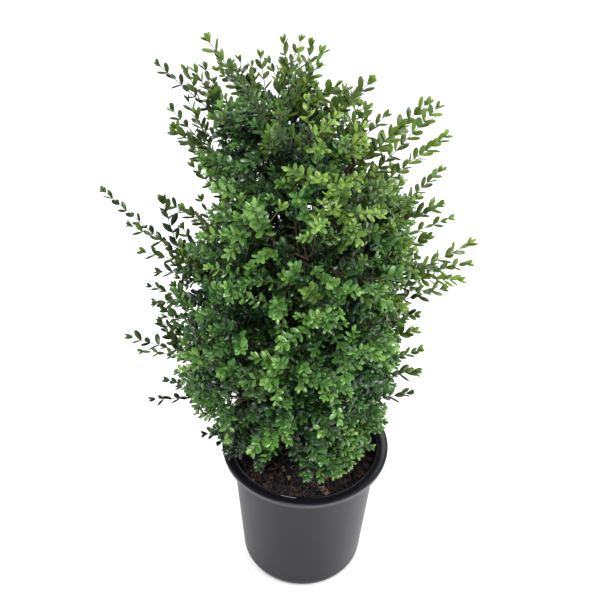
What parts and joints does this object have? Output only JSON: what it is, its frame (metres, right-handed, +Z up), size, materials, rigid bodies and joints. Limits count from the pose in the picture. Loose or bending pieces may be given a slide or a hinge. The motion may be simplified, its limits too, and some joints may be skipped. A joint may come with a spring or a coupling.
{
  "type": "potted boxwood shrub",
  "caption": "Small-leaved evergreen shrub with an upright oval crown and a few long shoots, growing in a round black nursery pot filled with bark potting mix.",
  "frame": {"origin": "centre of the pot's flat underside", "axes": "+Z up, -Y the side that the picture was taken from, +X to the right in the picture"},
  "size_m": [0.5138, 0.4272, 0.9427],
  "materials": {
    "pot_plastic": "matte moulded plastic",
    "potting_mix": "moist ground bark and peat",
    "bark": "grey-brown bark",
    "leaf_green": "waxy small leaves"
  },
  "bodies": {
    "root": {"pot": "pot_plastic", "soil": "potting_mix", "trunk": "bark", "stem_1": "bark", "stem_2": "bark", "stem_3": "bark", "stem_4": "bark", "stem_5": "bark", "bough_skirt_1": "bark", "bough_skirt_2": "bark", "bough_skirt_3": "bark", "bough_skirt_4": "bark", "bough_skirt_5": "bark", "bough_low_1": "bark", "bough_low_2": "bark", "bough_low_3": "bark", "bough_low_4": "bark", "bough_low_5": "bark", "bough_middle_1": "bark", "bough_middle_2": "bark", "bough_middle_3": "bark", "bough_middle_4": "bark", "bough_middle_5": "bark", "bough_top_1": "bark", "bough_top_2": "bark", "bough_top_3": "bark", "bough_top_4": "bark", "foliage_skirt_1": "leaf_green", "foliage_skirt_2": "leaf_green", "foliage_skirt_3": "leaf_green", "foliage_skirt_4": "leaf_green", "foliage_skirt_5": "leaf_green", "foliage_low_1": "leaf_green", "foliage_low_2": "leaf_green", "foliage_low_3": "leaf_green", "foliage_low_4": "leaf_green", "foliage_low_5": "leaf_green", "foliage_middle_1": "leaf_green", "foliage_middle_2": "leaf_green", "foliage_middle_3": "leaf_green", "foliage_middle_4": "leaf_green", "foliage_middle_5": "leaf_green", "foliage_upper_1": "leaf_green", "foliage_upper_2": "leaf_green", "foliage_upper_3": "leaf_green", "foliage_upper_4": "leaf_green", "foliage_upper_5": "leaf_green", "foliage_top_1": "leaf_green", "foliage_top_2": "leaf_green", "foliage_top_3": "leaf_green", "foliage_top_4": "leaf_green"}
  },
  "joints": []
}
